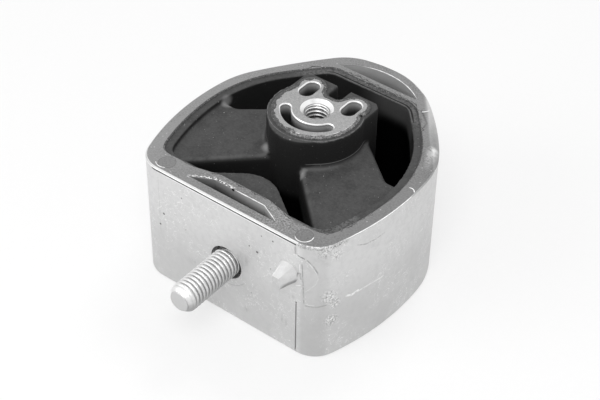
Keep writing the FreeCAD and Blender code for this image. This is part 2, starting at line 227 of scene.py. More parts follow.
# %% Finishes
class Finish(Sheet):
    """A material with its masks and patterns."""

    def __init__(self, name):
        self.material = bpy.data.materials.new(name)
        self.material.use_nodes = True
        super().__init__(self.material.node_tree)
        self.shader = self.tree.nodes["Principled BSDF"]
        place = self.node("ShaderNodeTexCoord", {}, {}, "Object")
        self.place = self.vector("SCALE", place, 1.0 / mm)
        self.x, self.y, self.z = self.parts(self.place)
        normal = self.node("ShaderNodeNewGeometry", {}, {}, "Normal")
        self.rightward, backward, self.upward = self.parts(normal)
        self.forward = 0.0 - backward
        self.colour = grey(0.0)

    def parts(self, vector):
        return [self.node("ShaderNodeSeparateXYZ", {}, {0: vector}, axis) for axis in "XYZ"]

    def noise(self, scale, detail=2.0, rough=0.5, stretch=None):
        """Noise from 0 to 1 whose grains are about one over scale, in millimetres."""
        place = self.place
        if stretch:
            place = self.vector("MULTIPLY", place, stretch)
        values = {"Vector": place, "Scale": scale, "Detail": detail, "Roughness": rough}
        return self.node("ShaderNodeTexNoise", {}, values, 0)

    def specks(self, scale, size):
        """Small round dots, one for each cell of a Voronoi pattern: 1 in a dot, 0 outside."""
        values = {"Vector": self.place, "Scale": scale}
        return self.node("ShaderNodeTexVoronoi", {}, values, "Distance").step(size, 0.4 * size)

    def spot(self, centre, radius, soft):
        """1 near a point of the part, given in millimetres, fading to 0."""
        away = self.vector("DISTANCE", self.place, centre, "Value")
        return away.step(radius + soft, radius)

    def stroke(self, points, half, soft):
        """1 along a path of straight pieces between points in millimetres, fading to 0 beside it."""
        drawn = 0.0
        for start, stop in zip(points, points[1:]):
            run = Vector(stop) - Vector(start)
            gone = self.vector("SUBTRACT", self.place, start)
            share = self.vector("DOT_PRODUCT", gone, run / run.length_squared, "Value")
            nearest = self.vector("SCALE", run, self.node("ShaderNodeClamp", {}, {0: share}))
            away = self.vector("DISTANCE", gone, nearest, "Value")
            drawn = self.most(drawn, away.step(half + soft, half))
        return drawn

    def blend(self, mask, first, second):
        """The first colour where the mask is 0 and the second where it is 1. A number is a grey."""
        first, second = (grey(c) if isinstance(c, float) else c for c in (first, second))
        settings = {"data_type": "RGBA"}
        return self.node("ShaderNodeMix", settings, {0: mask, 6: first, 7: second}, 2)

    def paint(self, share, colour):
        """Lays a colour over the finish's colour so far, as strongly as the share says."""
        self.colour = self.blend(share, self.colour, colour)

    def bump(self, height, depth):
        """Bumps of a depth in millimetres for a height from 0 to 1."""
        return self.node("ShaderNodeBump", {}, {"Height": height, "Distance": depth * mm})

    def radius_about(self, across, up):
        """The distance in millimetres from an axis, from the two offsets square to it."""
        return self.node("ShaderNodeMath", {"operation": "SQRT"}, {0: across * across + up * up})

    def paint_shade_in_depths(self, mask):
        """Painted shade: where the mask is 1 the surface is almost black, as in a deep narrow gap."""
        depth = self.node("ShaderNodeBsdfDiffuse", {}, {"Color": grey(0.002)})
        self.show_mix(mask, Amount(self, self.shader.outputs[0]), depth, "Material Output")

    def wear(self, roughness, normal, metallic=0.0):
        self.feed(self.shader.inputs["Base Color"], self.colour)
        self.feed(self.shader.inputs["Metallic"], metallic)
        self.feed(self.shader.inputs["Roughness"], roughness)
        self.feed(self.shader.inputs["Normal"], normal)


def grey(level):
    return (level, level, level, 1.0)


print("finishes ready")

# %% [markdown]
# The stage is a plain pale floor under a white sky. Rays from the camera, and reflections, see white,
# while the light that falls on the part stays at a plain level, so no colour burns out. The floor
# glows a little to the camera only, which lifts it to the white of the sky and keeps a soft shadow.

# %% Floor and sky
floor_height = cad_box[0].z - 0.02 * mm
floor_half = 2.0
floor_glow = 0.5
sky_level = 0.62


def make_sky():
    world = bpy.data.worlds.new("studio")
    bpy.context.scene.world = world
    world.use_nodes = True
    sky = Sheet(world.node_tree)
    light = sky.tree.nodes["Background"]
    light.inputs["Color"].default_value = grey(1.0)
    light.inputs["Strength"].default_value = sky_level
    white = sky.node("ShaderNodeBackground", {}, {"Color": grey(1.0)})
    sky.show_mix(sky.seen_directly(), Amount(sky, light.outputs[0]), white, "World Output")


def make_floor():
    corners = [(-1.0, -1.0), (1.0, -1.0), (1.0, 1.0), (-1.0, 1.0)]
    mesh = bpy.data.meshes.new("floor")
    mesh.from_pydata([(x * floor_half, y * floor_half, floor_height) for x, y in corners], [], [(0, 1, 2, 3)])
    floor = add_object("floor", mesh)
    paper = Finish("pale_paper")
    fibre = paper.noise(0.8, 3.0)
    paper.colour = paper.blend(fibre, 0.9, 0.93)
    paper.wear(0.9, paper.bump(fibre, 0.02))
    glow = paper.node("ShaderNodeEmission", {}, {})
    lit = Amount(paper, paper.shader.outputs[0])
    paper.show_mix(floor_glow * paper.seen_directly(), lit, glow, "Material Output")
    mesh.materials.append(paper.material)
    return floor


make_sky()
floor = make_floor()
print("floor at", round(floor_height / mm, 1), "mm")

# %% [markdown]
# Three soft lamps do the modelling. The key stands above the camera, because the photograph has its
# bright lines on the edges that face the camera. A second one from the left fills the front face, and
# a weak one from behind draws the thin lines along the back of the rubber.

# %% Lamps
def soft_lamp(name, around, height, away, size, power):
    """A square lamp that looks at the part, at angles in degrees round it and above it."""
    data = bpy.data.lights.new(name, "AREA")
    data.size = size
    data.energy = power
    lamp = add_object(name, data)
    side = math.radians(around)
    up = math.radians(height)
    direction = Vector((math.sin(side) * math.cos(up), -math.cos(side) * math.cos(up), math.sin(up)))
    lamp.location = direction * away
    lamp.rotation_euler = direction.to_track_quat("Z", "Y").to_euler()
    return lamp


lamps = [
    soft_lamp("key", 30.0, 52.0, 0.9, 0.45, 3.0),
    soft_lamp("front_fill", -35.0, 25.0, 1.0, 0.6, 2.2),
    soft_lamp("back_line", 190.0, 55.0, 0.9, 0.3, 1.2),
]
print("lamps:", [lamp.name for lamp in lamps])

# %% [markdown]
# The housing is raw cast aluminium. Its walls took the smooth skin of the die and are pale, and the rim
# has a finer grain and is painted darker, as painted shade. A mask from how far a face looks up tells
# the two apart. What the die left has its place: pits, soft smudges, rough patches, and fine lines where
# the die's inserts met, each a stroke between points of the part. Some bright and dark strokes are
# painted highlights and painted shade on the lug, a painted highlight lies on the right rear shoulder,
# and the pockets' walls are painted darker with depth, as painted shade.

# %% Places of the marks of casting, and of painted highlights and shade
front_y = -46.0
stud_axis_z = -24.2
pits = [
    (12.6, -12.6, 0.42), (18.7, -4.7, 0.3), (9.5, -11.7, 0.25), (14.3, -5.0, 0.2),
    (17.9, -16.5, 0.2), (-25.7, -18.0, 0.4), (-27.5, -23.3, 0.35), (-17.7, -7.2, 0.25),
    (-16.5, -19.8, 0.18), (10.1, -31.4, 0.2),
]
smudges = [
    (-14.3, -31.7, 2.0), (6.9, -18.9, 3.0), (26.0, -23.3, 1.8), (22.8, -36.0, 2.6), (8.0, -40.0, 1.6),
]
rough_patches = [
    ((36.5, -41.0, -20.9), 4.0), ((37.0, -40.1, -31.2), 3.6), ((35.5, -42.5, -2.2), 3.4),
    ((37.6, -39.0, -4.5), 3.0), ((37.4, -39.0, -24.5), 3.0),
]
dark_lines_and_lug_shade = [
    ([(27.7, front_y, -4.2), (28.2, front_y, -4.8), (30.4, -45.7, -5.3)], 0.2, 0.75),
    ([(29.7, -45.9, -7.9), (30.2, -45.7, -17.0), (30.5, -45.6, -23.6)], 0.1, 0.5),
    ([(31.3, -45.5, -5.6), (33.0, -44.8, -7.4), (34.3, -43.8, -10.6)], 0.14, 0.55),
    ([(31.1, -45.5, -24.6), (33.6, -44.3, -24.8), (36.8, -41.2, -23.9)], 0.16, 0.4),
    ([(39.7, -31.4, -4.6), (40.4, -28.3, -6.0), (41.2, -24.2, -6.4), (41.7, -20.8, -6.0)], 0.14, 0.35),
    ([(-27.3, front_y, -3.6), (-27.5, front_y, -27.0)], 0.08, 0.14),
    ([(27.6, -46.6, -15.6), (28.4, -46.1, -12.0)], 0.15, 0.6),
    ([(29.0, front_y, -11.7), (29.4, front_y, -14.0)], 0.2, 0.5),
]
bright_lines_and_lug_highlights = [
    ([(30.7, -45.7, -5.7), (32.2, -45.1, -7.3), (33.3, -44.5, -9.2), (33.9, -44.1, -10.8)], 0.1, 0.9),
    ([(33.9, -44.1, -10.8), (34.3, -43.8, -12.6), (33.8, -44.1, -14.8), (31.1, -45.5, -18.6)], 0.1, 0.35),
    ([(28.9, front_y, -8.3), (28.9, front_y, -11.7)], 0.12, 0.7),
    ([(27.7, front_y, -17.6), (29.2, front_y, -16.7)], 0.14, 0.6),
    ([(31.1, -45.5, -24.0), (33.4, -44.4, -24.1)], 0.12, 0.5),
    ([(38.7, -35.0, -23.7), (39.3, -33.0, -24.5), (39.9, -30.5, -24.0)], 0.35, 0.85),
    ([(39.9, -30.5, -24.4), (40.9, -26.0, -24.3), (41.9, -19.9, -24.7)], 0.22, 0.55),
    ([(23.3, -52.2, -11.3), (25.9, -52.2, -11.3)], 0.12, 0.9),
    ([(22.6, -46.3, -9.6), (23.4, -51.9, -11.5)], 0.25, 0.6),
    ([(-16.6, front_y, -4.8), (-15.3, front_y, -4.9)], 0.1, 0.6),
    ([(-19.7, front_y, -10.0), (-17.2, front_y, -9.1)], 0.12, 0.6),
    ([(41.6, -8.0, -20.0), (42.1, 0.8, -19.2)], 0.25, 0.4),
]
pocket_burr = [
    (-17.0, -42.7, 0.0), (-13.5, -40.6, 0.0), (-10.3, -38.7, 0.0), (-6.0, -38.8, 0.0), (-2.8, -38.8, 0.0),
]
pocket_nick_shade = (-2.5, -39.2, -0.3)
shoulder_glint = [(34.4, 15.4, -1.8), (36.5, 10.8, -2.0), (38.3, 6.5, -2.4)]
shoulder_crease = [(20.5, 30.0, 0.0), (22.9, 27.9, -0.2), (25.5, 25.6, -0.4), (26.0, 23.0, -0.2)]
bar_crease = [
    (-14.0, -35.4, -0.2), (-12.0, -35.6, -0.2), (-8.3, -34.8, -0.2), (-3.3, -35.0, -0.2), (2.8, -35.6, -0.2),
]
corner_smear = [
    (22.0, -38.2, 0.0), (24.0, -37.4, 0.0), (28.7, -36.9, 0.0), (32.1, -33.1, 0.0), (33.6, -27.4, 0.0),
]
flaked_rim = (17.5, -38.6, 0.0)
pin_discs = [(-26.9, -41.9, 2.8), (27.6, -42.1, 2.7)]
print("pits:", len(pits), "lines:", len(dark_lines_and_lug_shade) + len(bright_lines_and_lug_highlights))

# %% [markdown]
# One material serves the whole casting, because it is one piece. It is painted from the large to the
# small: the tone of the walls with its painted shade, then stains and speckle, then lines and edges with
# their painted light and shade, and at last the pockets and the rim, both with painted shade. The
# patterns that several of these steps share are kept on the finish by name.

# %% Marks drawn on the casting
line_softness = 0.16


def drawn_lines(cast, lines):
    """The lines of a list on one mask, each with its own strength, broken up by noise."""
    broken = cast.noise(1.1, 3.0, 0.7).step(0.32, 0.54)
    mask = 0.0
    for points, half, strength in lines:
        mask = cast.most(mask, strength * broken * cast.stroke(points, half, line_softness))
    return mask


def spots_on_front(cast, places, core, edge):
    """Spots on the front face, whose cores and soft edges are shares of their radii."""
    mask = 0.0
    for x, z, radius in places:
        mask = mask + cast.spot((x, front_y, z), radius * core, radius * edge)
    return mask


def rough_areas(cast):
    """The patches where the die's skin tore off."""
    mask = 0.0
    for place, radius in rough_patches:
        mask = cast.most(mask, cast.spot(place, 0.15 * radius, 0.85 * radius))
    return mask


print("line softness:", line_softness, "mm")

# %% [markdown]
# The walls are pale above and painted darker below, as painted shade. Over that tone come clouds,
# stains, speckle, the faint ring round the stud's hole, the drawn lines, the lug's painted light and
# shade, the edge over the corner, painted shade on the rounded corner and the seam's painted shadow.

# %% Colour of the walls
wall_upper = 0.68
wall_lower = 0.54
bright_wear_and_highlight = 0.95
stud_ring_radius = 8.7


def paint_walls(cast):
    """The pale skin of the walls with its marks, and painted light and shade."""
    # Painted shade: the walls are darker towards the bottom.
    cast.colour = cast.blend(cast.z.step(-9.0, -34.0), wall_upper, wall_lower)
    cast.paint(0.5 * cast.cloud.step(0.3, 0.7), wall_upper * 0.93)
    cast.paint(0.3 * cast.mottle.step(0.4, 0.75), wall_lower * 0.9)
    streaks = cast.noise(0.9, 4.0, 0.7, (1.0, 1.0, 0.35))
    stained = spots_on_front(cast, smudges, 0.2, 1.0) * streaks.step(0.4, 0.65)
    cast.paint(0.45 * stained, wall_lower * 0.6)
    cast.paint(0.95 * cast.rough_area * cast.speckle.step(0.52, 0.58), bright_wear_and_highlight)
    cast.paint(0.85 * cast.rough_area * cast.speckle.step(0.46, 0.39), 0.2)
    on_front = cast.y.step(front_y + 0.3, front_y + 0.1)
    ring = cast.radius_about(cast.x, cast.z - stud_axis_z).band(stud_ring_radius, 0.1, 0.2)
    ring = ring * cast.z.step(-28.5, -30.0) * cast.x.step(-1.0, 1.5)
    cast.paint(0.4 * ring * on_front, 0.3)
    # Drawn lines: die marks and scratches, plus painted highlights on the lug and painted shade beside it.
    cast.paint(cast.bright, bright_wear_and_highlight)
    cast.paint(cast.dark, 0.12)
    paint_lug_light_and_shade(cast)
    paint_edge_and_scratches(cast)
    # Painted shade on the rounded front right corner, found from how its faces turn to the right.
    corner_shade = cast.rightward.band(0.5, 0.25, 0.2)
    cast.paint(0.3 * corner_shade, wall_lower * 0.7)
    # The dark seam under the bead is painted shadow below the step where the die's halves met.
    seam_shadow = on_front * cast.z.band(-1.06, 0.22, 0.06) * cast.x.band(-1.3, 28.6, 0.4)
    cast.paint(seam_shadow, 0.02)
    cast.paint(0.85 * cast.pitted, 0.08)


def paint_edge_and_scratches(cast):
    """The speckled edge over the front corner, and fine curved scratches in clouds on the walls."""
    dull_edge = cast.z.step(-1.9, -0.5) * cast.x.step(27.7, 28.3)
    dull_edge = dull_edge * cast.y.step(-34.0, -37.5)
    edge_speckle = cast.blend(cast.speckle.step(0.42, 0.58), 0.1, 0.75)
    cast.paint(0.75 * dull_edge, edge_speckle)
    scratch = cast.noise(0.28, 3.0, 0.6).band(0.5, 0.004, 0.01) * cast.cloud.step(0.4, 0.58)
    cast.paint(0.55 * scratch * cast.speckle.step(0.42, 0.5), bright_wear_and_highlight)
    cast.paint(0.4 * scratch * cast.speckle.step(0.42, 0.34), 0.15)


def paint_lug_light_and_shade(cast):
    """Painted light and shade on the lug's facets: lighter where they look up, darker where they look down.
    """
    on_lug = cast.y.step(front_y - 0.15, front_y - 0.4)
    cast.paint(0.4 * on_lug * cast.upward.step(0.15, 0.5), 0.9)
    cast.paint(0.35 * on_lug * cast.forward.step(0.9, 0.98), 0.4)
    cast.paint(0.8 * on_lug * cast.upward.step(-0.02, -0.3), 0.2)


print("wall tones:", wall_upper, wall_lower)

# %% [markdown]
# The pockets' walls are painted dark at depth and lighter near the top, more so towards the right, as
# painted shade and painted light. The rim is painted darker than the walls, as painted shade for a top
# that gets less light than the walls, and it shows the grain of the metal and specks.

# %% Colours of the pockets and the rim
shaded_rim_tone = 0.235
front_pocket_y = -39.3
front_pocket_half = 3.7
back_pocket_curve = 0.0227


def paint_pocket_shade_and_light(cast):
    """Painted shade and light on the pockets' walls, worked out from their places in the front and back bars.
    """
    sunk = cast.z.step(-0.15, -0.5)
    near_front = sunk * cast.y.band(front_pocket_y, front_pocket_half, 0.1)
    near_front = near_front * cast.x.band(0.0, 17.4, 0.1)
    near_back = sunk * cast.x.band(0.0, 15.9, 0.1) * cast.y.step(33.8, 33.9)
    near_back = near_back * (cast.y + back_pocket_curve * cast.x * cast.x).step(40.6, 40.3)
    # Painted light and shade: lighter towards the right and near the top, darker with depth.
    across = cast.x.step(-16.0, 12.0)
    front_top = cast.blend(across, 0.3, 0.75)
    front_fall = cast.z.step(-0.8, -5.5)
    front_wall = cast.blend(front_fall, front_top, cast.blend(across, 0.03, 0.2))
    cast.paint(near_front, front_wall)
    back_wall = cast.blend(cast.z.step(-1.0, -9.0), 0.6, 0.28)
    cast.paint(near_back, back_wall)


def paint_rim(cast):
    """The upper face in painted shade: fine grain, pale and dark specks, and the burr on the pocket's edge.
    """
    cast.colour = cast.blend(cast.grain.step(0.36, 0.66), shaded_rim_tone * 0.62, shaded_rim_tone * 1.3)
    cast.paint(0.6 * cast.cloud.step(0.35, 0.65), shaded_rim_tone * 1.12)
    cast.paint(0.4 * cast.x.step(-10.0, -40.0), shaded_rim_tone * 1.5)
    cast.paint(0.3 * cast.x.step(20.0, 40.0), shaded_rim_tone * 0.6)
    flaked = cast.spot(flaked_rim, 3.0, 9.0)
    cast.paint(0.3 * flaked * cast.grain.step(0.5, 0.58), 0.6)
    cast.paint(0.4 * flaked * cast.grain.step(0.46, 0.38), 0.04)
    for x, y, radius in pin_discs:
        away = cast.radius_about(cast.x - x, cast.y - y)
        cast.paint(0.35 * away.step(radius, radius - 0.2), shaded_rim_tone * 0.6)
        cast.paint(0.5 * away.band(radius, 0.05, 0.15), shaded_rim_tone * 0.35)
    cast.paint(0.6 * cast.specks(0.42, 0.13), 0.6)
    cast.paint(0.6 * cast.specks(0.35, 0.1), 0.06)
    torn = cast.noise(1.3, 3.0, 0.8)
    burr = cast.stroke(pocket_burr, 0.3, 0.8)
    cast.paint(burr * torn.step(0.5, 0.57), 0.9)
    cast.paint(0.85 * burr * torn.step(0.47, 0.38), 0.04)


print("rim tone:", shaded_rim_tone)

# %% [markdown]
# The rim, with its painted shade, is told from the walls by a mask: it looks straight up and lies at the
# top. On the right rear shoulder the mask fades out slowly, since the casting is rounded there, and a
# painted highlight shines.

# %% Cast aluminium of the housing
def cast_aluminium():
    cast = Finish("cast_aluminium")
    # Where the rim's painted shade goes, fading over the rounded right rear shoulder.
    rim = cast.upward.step(0.9, 0.985) * cast.z.step(-2.2, -1.4)
    shoulder = cast.spot((38.0, 12.0, -1.0), 8.0, 20.0) * cast.upward.step(0.2, 0.9)
    glint = cast.stroke(shoulder_glint, 0.6, 2.2)
    rim = cast.most(rim, 0.75 * shoulder * (1.0 - glint))
    cast.cloud = cast.noise(0.07, 3.0, 0.6)
    cast.mottle = cast.noise(0.5, 4.0, 0.65)
    cast.grain = cast.noise(1.7, 4.0, 0.75)
    cast.speckle = cast.noise(1.5, 3.0, 0.85)
    cast.pitted = spots_on_front(cast, pits, 0.6, 0.7)
    cast.rough_area = rough_areas(cast)
    cast.bright = drawn_lines(cast, bright_lines_and_lug_highlights)
    cast.dark = drawn_lines(cast, dark_lines_and_lug_shade)
    paint_walls(cast)
    paint_pocket_shade_and_light(cast)
    walls = cast.colour
    paint_rim(cast)
    cast.colour = cast.blend(rim, walls, cast.colour)
    # A nick on the front pocket's edge, painted black as the shade inside it.
    cast.paint(cast.spot(pocket_nick_shade, 0.4, 0.35), 0.005)
    # Painted highlight on the right rear shoulder.
    cast.paint(0.85 * glint * cast.mottle.step(0.35, 0.55), 0.97)
    # Painted shade in the creases on the rim and along the front bar, with the smear at the front right
    # corner.
    crease = cast.most(cast.stroke(shoulder_crease, 0.1, 0.5), cast.stroke(bar_crease, 0.15, 0.6))
    crease = cast.most(crease, 0.8 * cast.stroke(corner_smear, 0.5, 1.8))
    cast.paint(0.75 * crease * cast.grain.step(0.4, 0.55), 0.03)
    height = 0.5 * cast.mottle + 0.25 * cast.grain - 2.0 * cast.pitted + 0.5 * rim * cast.grain
    height = height + 2.0 * cast.rough_area * cast.speckle + 1.2 * cast.bright - 1.2 * cast.dark
    cast.wear(0.42 + 0.16 * cast.mottle + 0.1 * rim, cast.bump(height, 0.12), 0.55)
    return cast.material


housing_metal = cast_aluminium()
nodes["housing"].material_slots[0].material = housing_metal
print("housing finish:", housing_metal.name)

# %% [markdown]
# The core is a finer casting. Its top is matt, and the small bevels round its slot and holes shine, as
# does the countersink: a painted highlight on the bevels that face the front right. A bevel is found
# from its slope: it looks up by about 45 degrees. The holes are painted darker with depth, as painted shade.

# %% Cast aluminium of the core
core_tone = 0.36
core_bevel_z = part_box("core")[1].z - 0.35 * mm


def core_aluminium():
    cast = Finish("core_aluminium")
    # Painted highlight on the bevels that face the front right.
    bevel_highlight = cast.upward.band(0.72, 0.12, 0.1)
    facing = 0.6 * cast.rightward + 0.8 * cast.forward
    bevel_highlight = bevel_highlight * facing.step(-0.4, -0.1) * (1.0 - 0.6 * facing.step(0.6, 0.7))
    sunk = cast.z.step(8.5, 7.6)
    hole = cast.radius_about(cast.x, cast.y).step(5.6, 5.8)
    upper = cast.z.step(7.0, 7.6)
    grain = cast.noise(2.6, 4.0, 0.7)
    cloud = cast.noise(0.25, 3.0, 0.6)
    cast.colour = cast.blend(grain.step(0.32, 0.7), core_tone * 0.75, core_tone * 1.2)
    cast.paint(0.5 * cloud.step(0.4, 0.7), core_tone * 0.9)
    cast.paint(bevel_highlight * upper, 0.92)
    # Painted shade: the holes darken with depth.
    hole_shade = cast.blend(cast.z.step(8.6, 4.2), 0.62, 0.05)
    cast.paint(sunk * hole, hole_shade)
    rough = 0.55 + 0.12 * grain - 0.3 * bevel_highlight
    cast.wear(rough, cast.bump(grain, 0.05), 0.6)
    return cast.material


core_metal = core_aluminium()
nodes["core"].material_slots[0].material = core_metal
print("core finish:", core_metal.name)

# %% [markdown]
# Moulded rubber is nearly black with a soft sheen. It greys where it looks up: dust and bloom settle
# there, and the lighter tone of faces that look up is also painted light. Pale specks of dust lie on it.
# Painted highlights lie on the legs' edges, on their junctions and round the skirt, and painted shade in
# the crease and the depths. Fine grain in the bump breaks up the sheen.

# %% Moulded rubber
rubber_dark = 0.008
rubber_bloom_and_light = 0.058
skirt_radius = 15.85
skirt_axis_y = -0.5
junction_highlight_spots = [
    ((-8.6, -14.2, -3.3), 1.2, 1.8), ((7.4, -15.9, -3.4), 0.5, 1.5),
    ((8.2, -17.6, -3.6), 0.4, 1.5), ((-33.9, -3.9, -2.5), 1.2, 2.2),
]


def skirt_highlight_lines(rubber):
    """Thin painted highlights round the skirt: at its foot and at its upper edge."""
    away = rubber.radius_about(rubber.x, rubber.y - skirt_axis_y)
    in_front = rubber.y.step(7.0, 5.0)
    foot = away.band(skirt_radius + 0.15, 0.4, 0.2) * rubber.z.band(-0.5, 0.06, 0.16)
    crown = away.band(skirt_radius - 0.3, 0.06, 0.18) * rubber.z.step(7.3, 7.9)
    uneven = rubber.noise(0.8, 3.0, 0.7).step(0.3, 0.6)
    return in_front * (0.6 * foot + 0.8 * uneven * crown)


def moulded_rubber():
    rubber = Finish("moulded_rubber")
    facing_up = rubber.upward.step(0.2, 0.95)
    cloud = rubber.noise(0.18, 4.0, 0.6)
    grain = rubber.noise(1.2, 5.0, 0.75)
    # Dust and bloom, with painted light: faces that look up are paler.
    bloom = facing_up * (0.7 + 0.5 * cloud.step(0.35, 0.7))
    rubber.colour = rubber.blend(bloom, rubber_dark, rubber_bloom_and_light)
    rubber.paint(0.3 * grain.step(0.42, 0.72) * facing_up, 0.12)
    rubber.paint(0.3 * grain.step(0.5, 0.3) * facing_up, 0.02)
    # Painted highlight on the rounded front edges of the legs.
    edge_highlight = rubber.upward.band(0.76, 0.04, 0.22) * rubber.forward.step(0.1, 0.4)
    edge_highlight = edge_highlight * rubber.z.band(-3.6, 1.6, 0.8)
    rubber.paint(0.5 * edge_highlight * cloud.step(0.25, 0.6), 0.12)
    behind = rubber.y.step(19.0, 25.0) * rubber.z.band(-0.7, 0.5, 0.3) * facing_up
    rubber.paint(behind * grain.step(0.35, 0.65), 0.14)
    # Painted highlights where the legs meet the skirt and the liner.
    pressed = 0.0
    for place, radius, soft in junction_highlight_spots:
        pressed = pressed + rubber.spot(place, radius, soft)
    rubber.paint(0.75 * pressed, 0.3)
    # Painted highlights along the skirt's foot and upper edge.
    rubber.paint(0.7 * skirt_highlight_lines(rubber), 0.24)
    smeared = rubber.stroke(corner_smear, 1.0, 2.6) * grain.step(0.38, 0.6)
    rubber.paint(0.8 * smeared, 0.15)
    # Painted shade in the crease along the front bar.
    crease = rubber.stroke(bar_crease, 0.3, 0.9) * grain.step(0.4, 0.55)
    rubber.paint(0.8 * crease, 0.005)
    drift = rubber.noise(0.12, 3.0, 0.7).step(0.4, 0.65)
    dust = rubber.specks(0.55, 0.1) * drift + rubber.specks(0.2, 0.05)
    dust = dust + 0.5 * rubber.specks(0.9, 0.12) * drift
    rubber.paint(dust * (0.25 + 0.6 * facing_up), 0.4)
    right_rear = rubber.x.step(-6.0, 8.0) * rubber.y.step(16.0, 24.0)
    depth = rubber.z + 5.0 - 5.0 * right_rear
    steep = rubber.upward.step(0.6, 0.2)
    lit_wall = right_rear * steep * rubber.z.step(-9.5, -5.0) * rubber.z.step(0.0, -1.5)
    rubber.paint(0.8 * lit_wall * rubber.x.step(30.0, 20.0), 0.085)
    rough = 0.52 + 0.18 * grain + 0.08 * facing_up
    rubber.shader.inputs["Specular IOR Level"].default_value = 0.3
    outside = rubber.radius_about(rubber.x, rubber.y - skirt_axis_y).step(15.0, 17.0)
    # Painted shade: steep walls deep down are made almost black.
    rubber.paint_shade_in_depths((depth - 5.0 * (1.0 - outside)).step(-6.5, -11.0) * steep)
    rubber.wear(rough, rubber.bump(grain + 0.8 * cloud, 0.07))
    return rubber.material


rubber_finish = moulded_rubber()
print("rubber finish:", rubber_finish.name)

# %% [markdown]
# The spring's solid has crisp corners where its legs, skirt and liner meet, but the real one came out
# of a mould whose corners are rounded. A copy is remeshed in small even cells and then smoothed a
# little, which rounds every edge by about a cell and fills each inside corner in the same way.

# %% Rubber spring with moulded edges
cell = 0.56 * mm
smoothing_rounds = 3


def apply_modifiers(piece):
    """Keeps the shape that the modifiers give, and leaves none on the piece."""
    graph = bpy.context.evaluated_depsgraph_get()
    shaped = bpy.data.meshes.new_from_object(piece.evaluated_get(graph))
    piece.modifiers.clear()
    piece.data = shaped


def shade_smooth(mesh):
    mesh.polygons.foreach_set("use_smooth", [True] * len(mesh.polygons))
    mesh.update()


def welded_shape(node):
    """The shape of a node with the points that lie in one place joined."""
    shape = bmesh.new()
    shape.from_mesh(node.data)
    bmesh.ops.remove_doubles(shape, verts=shape.verts, dist=1e-7)
    return shape


def welded_copy(name, node):
    shape = welded_shape(node)
    mesh = bpy.data.meshes.new(name)
    shape.to_mesh(mesh)
    shape.free()
    piece = add_object(name, mesh)
    return piece


def make_spring():
    spring = welded_copy("rubber_spring_moulded", nodes["rubber_spring"])
    cells = spring.modifiers.new("cells", "REMESH")
    cells.mode = "VOXEL"
    cells.voxel_size = cell
    apply_modifiers(spring)
    soften = spring.modifiers.new("soften", "SMOOTH")
    soften.factor = 0.5
    soften.iterations = smoothing_rounds
    apply_modifiers(spring)
    spring.data.materials.clear()
    spring.data.materials.append(rubber_finish)
    shade_smooth(spring.data)
    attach(spring, "root")
    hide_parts("rubber_spring")
    return spring


spring = make_spring()
print("spring faces:", len(spring.data.polygons))

# %% [markdown]
# The stud is zinc plated steel. The crests of its thread are rubbed bright, the roots are painted greyer
# as their shade and dirt, and its lower right side is painted in shade. The roots are found by their
# distance from the stud's axis.

# %% Plated steel
def plated_steel():
    steel = Finish("plated_steel")
    cloud = steel.noise(0.5, 3.0, 0.6)
    grain = steel.noise(4.0, 2.0, 0.6)
    radius = steel.radius_about(steel.x, steel.z - stud_axis_z)
    crest = radius.step(4.3, 4.85)
    threaded = steel.y.step(-67.4, -66.2)
    steel.colour = steel.blend(cloud.step(0.35, 0.7), 0.72, 0.86)
    # Painted shade and dirt in the thread's roots.
    steel.paint(threaded * (1.0 - crest), 0.46)
    # Painted shade on the lower right side.
    shaded = (steel.upward - 0.5 * steel.rightward).step(0.3, -0.7)
    steel.paint(0.75 * shaded, 0.22)
    end_face = steel.y.step(-68.3, -68.4)
    steel.paint(end_face, 0.56)
    steel.wear(0.28 + 0.14 * cloud + 0.06 * grain, steel.bump(grain, 0.02), 0.7)
    return steel.material


steel_finish = plated_steel()
print("stud finish:", steel_finish.name)

# %% [markdown]
# A thread could be cut with a screw modifier and a boolean, which is slow and leaves ragged faces.
# Here rings of points are joined into one skin, and the radius of each point says whether it lies on
# the thread's root, flank or crest as the ridge winds round. Near the stud's tip the ridge fades into
# a rounded taper, and behind it come the relief neck and the shank held by the housing.

# %% Threads
pitch = 1.5 * mm
steps_round = 72
steps_per_pitch = 12
angles = [turn * k / steps_round for k in range(steps_round)]


def ridge(phase):
    """The height of a thread's ridge, 0 to 1, along one pitch: flat root, two flanks, flat crest."""
    rise = 1.0 - abs(2.0 * (phase % 1.0) - 1.0)
    return min(1.0, max(0.0, 2.0 * rise - 0.2))


def strip_faces(rows, size):
    """The four-sided faces between rows of points that close on themselves."""
    faces = []
    for row in range(rows - 1):
        for k in range(size):
            here = row * size + k
            beside = row * size + (k + 1) % size
            faces.append((here, beside, beside + size, here + size))
    return faces


def ring_surface(name, rings, finish, capped=False):
    """A skin over closed rings of points, one after another."""
    count = len(rings[0])
    faces = strip_faces(len(rings), count)
    if capped:
        faces.append(tuple(reversed(range(count))))
        faces.append(tuple((len(rings) - 1) * count + k for k in range(count)))
    return dressed(name, [point for ring in rings for point in ring], faces, finish)


def dressed(name, points, faces, finish):
    """A smooth piece of the part from its points and faces, with its finish and its body."""
    mesh = bpy.data.meshes.new(name)
    mesh.from_pydata(points, [], faces)
    shape = bmesh.new()
    shape.from_mesh(mesh)
    bmesh.ops.recalc_face_normals(shape, faces=shape.faces)
    shape.to_mesh(mesh)
    shape.free()
    shade_smooth(mesh)
    mesh.materials.append(finish)
    piece = add_object(name, mesh)
    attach(piece, "root")
    return piece


